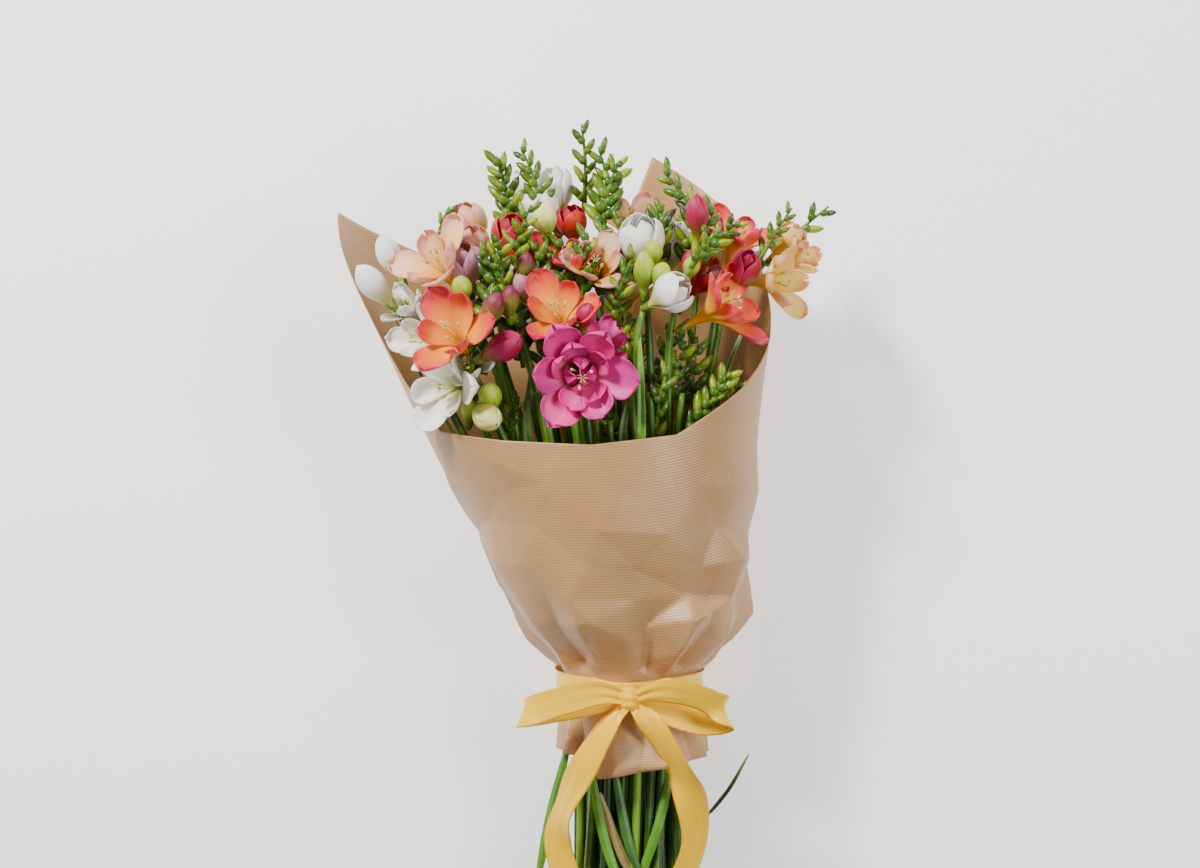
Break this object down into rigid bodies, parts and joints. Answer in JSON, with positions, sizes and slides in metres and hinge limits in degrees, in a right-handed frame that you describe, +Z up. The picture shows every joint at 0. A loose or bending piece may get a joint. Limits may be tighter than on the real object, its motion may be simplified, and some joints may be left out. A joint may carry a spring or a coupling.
{
  "type": "flower bouquet",
  "caption": "Tied bunch of mixed freesias lying on its back, wrapped in overlapping kraft paper sheets and held by a satin ribbon bow, with its cut stems bare.",
  "frame": {"origin": "middle of the bounding box's underside, on the surface the bunch lies on", "axes": "+Y along the bunch from the cut stems to the flowers, +Z up from the surface through the bunch's front, where the bow is"},
  "size_m": [0.2576, 0.42, 0.1306],
  "materials": {
    "kraft_paper": "ribbed brown kraft wrapping paper",
    "satin_ribbon": "yellow satin ribbon",
    "stem": "fresh green plant stem and small buds",
    "leaf": "fresh green blade leaf",
    "green_bud": "yellow-green closed bud",
    "coral_petal": "coral petals with a yellow throat",
    "pink_petal": "bright pink petals",
    "magenta_petal": "magenta bud",
    "crimson_petal": "crimson petals",
    "peach_petal": "cream petals flushed with pink",
    "white_petal": "white petals with a yellow-green base",
    "cream_petal": "cream and yellow bud"
  },
  "bodies": {
    "root": {"kraft_sheet_front": "kraft_paper", "kraft_sheet_back": "kraft_paper", "ribbon_band": "satin_ribbon", "ribbon_bow": "satin_ribbon", "leaf_left": "leaf", "leaf_cut_right": "leaf", "leaf_cut_left": "leaf", "stem_01": "stem", "pink_bloom_behind": "pink_petal", "pink_double_bloom": "pink_petal", "stem_02": "stem", "magenta_bud": "magenta_petal", "coral_bloom_left": "coral_petal", "crimson_bud": "crimson_petal", "stem_03": "stem", "coral_bloom_middle": "coral_petal", "dusty_pink_bloom": "peach_petal", "stem_04": "stem", "coral_bloom_right": "coral_petal", "stem_05": "stem", "coral_bloom_top": "coral_petal", "magenta_bud_top": "magenta_petal", "stem_06": "stem", "peach_bloom_left": "peach_petal", "peach_goblet": "peach_petal", "stem_07": "stem", "crimson_bloom": "crimson_petal", "stem_08": "stem", "coral_bloom_back": "coral_petal", "crimson_bloom_back": "crimson_petal", "stem_09": "stem", "peach_bloom_middle": "peach_petal", "pale_pink_bloom": "peach_petal", "stem_10": "stem", "white_goblet_front": "white_petal", "white_goblet_behind": "white_petal", "stem_11": "stem", "white_bud_right": "white_petal", "green_bud_large": "green_bud", "stem_12": "stem", "white_goblet_top": "white_petal", "stem_13": "stem", "white_goblet_left": "white_petal", "peach_bloom_low": "peach_petal", "stem_14": "stem", "white_bud_outer": "white_petal", "white_bud_upper": "white_petal", "stem_15": "stem", "white_bloom_low": "white_petal", "cream_bud_low": "cream_petal", "white_bloom_left": "white_petal", "stem_16": "stem", "peach_bloom_right": "peach_petal", "yellow_pink_bloom": "peach_petal", "stem_17": "stem", "coral_bloom_low": "coral_petal", "stem_18": "stem", "stem_19": "stem"}
  },
  "joints": []
}
